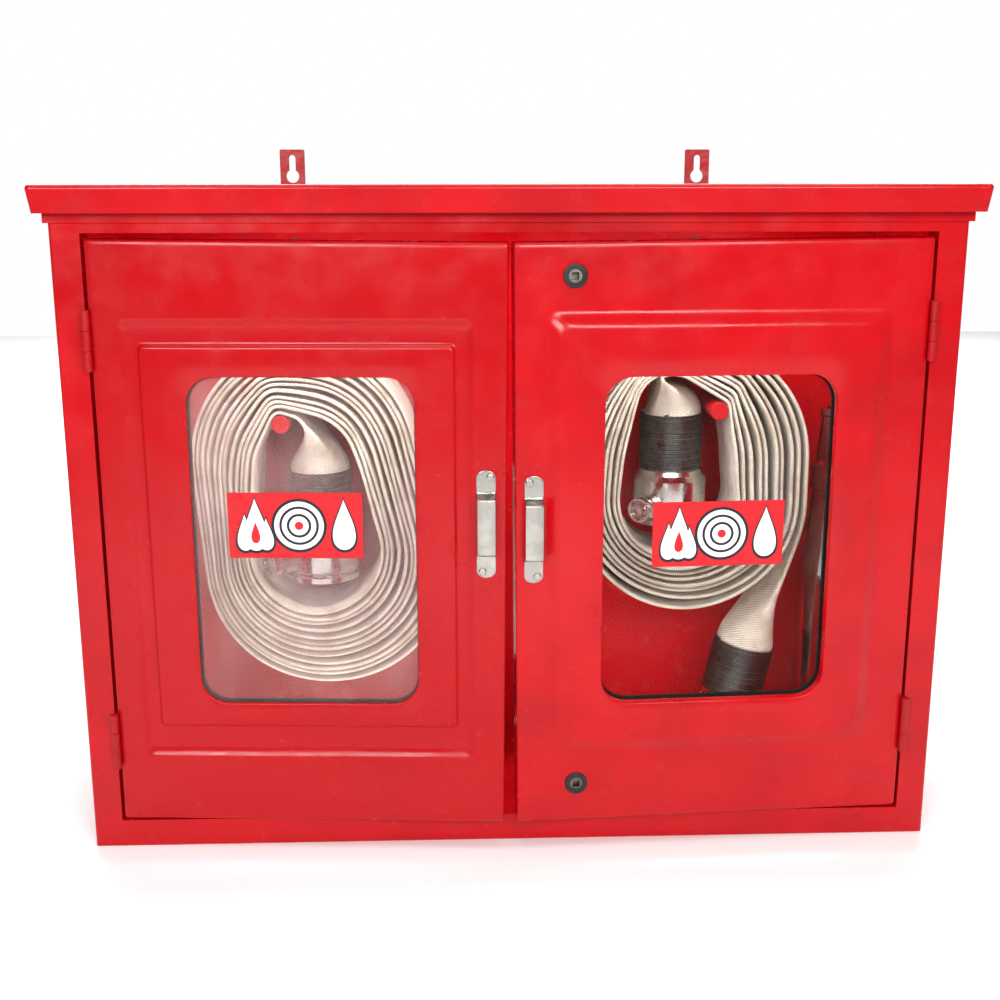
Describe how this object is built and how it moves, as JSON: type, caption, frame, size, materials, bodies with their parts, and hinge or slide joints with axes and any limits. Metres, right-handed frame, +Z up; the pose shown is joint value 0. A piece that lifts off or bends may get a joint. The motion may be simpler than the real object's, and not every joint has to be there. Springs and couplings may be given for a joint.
{
  "type": "double-door fire hose cabinet",
  "caption": "Wall-hung red cabinet with glazed double doors, holding rolled lay-flat fire hoses on pegs with wire-bound couplings and a branch pipe.",
  "frame": {"origin": "middle of the cabinet's underside", "axes": "+X to the right seen from the front, +Y into the cabinet, +Z up"},
  "size_m": [0.7692, 0.2888, 0.611],
  "materials": {
    "red_moulding": "glossy red gelcoat over hand-laid glass-fibre, slightly wavy",
    "red_paint_steel": "red enamel brushed over steel",
    "zinc_steel": "zinc plated",
    "clear_glass": "clear float glass",
    "black_rubber": "matt moulded rubber",
    "label_film": "printed gloss film",
    "polished_stainless": "polished pressed stainless strip",
    "lock_black": "black enamel",
    "lock_metal": "zinc die cast",
    "woven_hose": "off-white woven polyester jacket, lined",
    "binding_wire": "galvanised binding wire",
    "chromed_brass": "polished chrome on brass",
    "branch_alloy": "polished chrome on alloy"
  },
  "bodies": {
    "cabinet": {"body_shell": "red_moulding", "face_frame": "red_moulding", "roof_cap": "red_moulding", "left_hanging_strap": "red_paint_steel", "right_hanging_strap": "red_paint_steel", "left_hose_peg": "red_paint_steel", "right_hose_peg": "red_paint_steel", "left_upper_hinge_frame_leaf": "red_paint_steel", "left_lower_hinge_frame_leaf": "red_paint_steel", "right_upper_hinge_frame_leaf": "red_paint_steel", "right_lower_hinge_frame_leaf": "red_paint_steel", "hinge_pins": "red_paint_steel", "hanging_strap_rivets": "zinc_steel", "peg_bolts": "zinc_steel", "frame_hinge_rivets": "zinc_steel", "left_lug_spring": "zinc_steel", "right_lug_spring": "zinc_steel", "branch_clips": "zinc_steel", "coupling_seals": "black_rubber", "left_hose_roll": "woven_hose", "right_hose_roll": "woven_hose", "left_hose_tails": "woven_hose", "right_hose_tails": "woven_hose", "left_wire_bindings": "binding_wire", "right_wire_bindings": "binding_wire", "left_coupling_body": "chromed_brass", "right_coupling_body": "chromed_brass", "left_male_coupling": "chromed_brass", "right_male_coupling": "chromed_brass", "branch_pipe": "branch_alloy", "branch_nozzle": "branch_alloy"},
    "left_door": {"left_door_panel": "red_moulding", "left_upper_hinge_door_leaf": "red_paint_steel", "left_lower_hinge_door_leaf": "red_paint_steel", "left_door_hinge_rivets": "zinc_steel", "left_door_glass": "clear_glass", "left_glass_gasket": "black_rubber", "left_label_plate": "label_film", "left_pull_handle": "polished_stainless", "left_handle_screws": "polished_stainless"},
    "right_door": {"right_door_panel": "red_moulding", "right_upper_hinge_door_leaf": "red_paint_steel", "right_lower_hinge_door_leaf": "red_paint_steel", "right_door_hinge_rivets": "zinc_steel", "lock_nuts": "zinc_steel", "right_door_glass": "clear_glass", "right_glass_gasket": "black_rubber", "right_label_plate": "label_film", "right_pull_handle": "polished_stainless", "right_handle_screws": "polished_stainless", "upper_lock_housing": "lock_black", "lower_lock_housing": "lock_black"},
    "upper_lock": {"upper_lock_core": "lock_metal", "upper_lock_cam": "lock_metal"},
    "lower_lock": {"lower_lock_core": "lock_metal", "lower_lock_cam": "lock_metal"},
    "left_lug": {"left_release_lug": "chromed_brass"},
    "right_lug": {"right_release_lug": "chromed_brass"}
  },
  "joints": [
    {"name": "left_door_swing", "type": "hinge", "parent": "cabinet", "child": "left_door", "pos_m": [-0.3485, -0.132, 0.287], "axis": [0, 0, -1], "range_deg": [-3, 107]},
    {"name": "right_door_swing", "type": "hinge", "parent": "cabinet", "child": "right_door", "pos_m": [0.3485, -0.132, 0.287], "axis": [0, 0, 1], "range_deg": [-3, 107]},
    {"name": "upper_lock_turn", "type": "hinge", "parent": "right_door", "child": "upper_lock", "pos_m": [0.0488, -0.1437, 0.506], "axis": [0.0523, -0.9986, 0], "range_deg": [0, 90]},
    {"name": "lower_lock_turn", "type": "hinge", "parent": "right_door", "child": "lower_lock", "pos_m": [0.05469, -0.14339, 0.0625], "axis": [-0.0523, 0.9986, 0], "range_deg": [0, 90]},
    {"name": "left_lug_pull", "type": "slide", "parent": "cabinet", "child": "left_lug", "axis": [-0.8, -0.6, 0], "range_m": [0, 0.004], "stiffness_N_per_m": 1500, "springref_m": -0.002, "deforming": ["left_lug_spring"]},
    {"name": "right_lug_pull", "type": "slide", "parent": "cabinet", "child": "right_lug", "axis": [-0.6, -0.8, 0], "range_m": [0, 0.004], "stiffness_N_per_m": 1500, "springref_m": -0.002, "deforming": ["right_lug_spring"]}
  ]
}
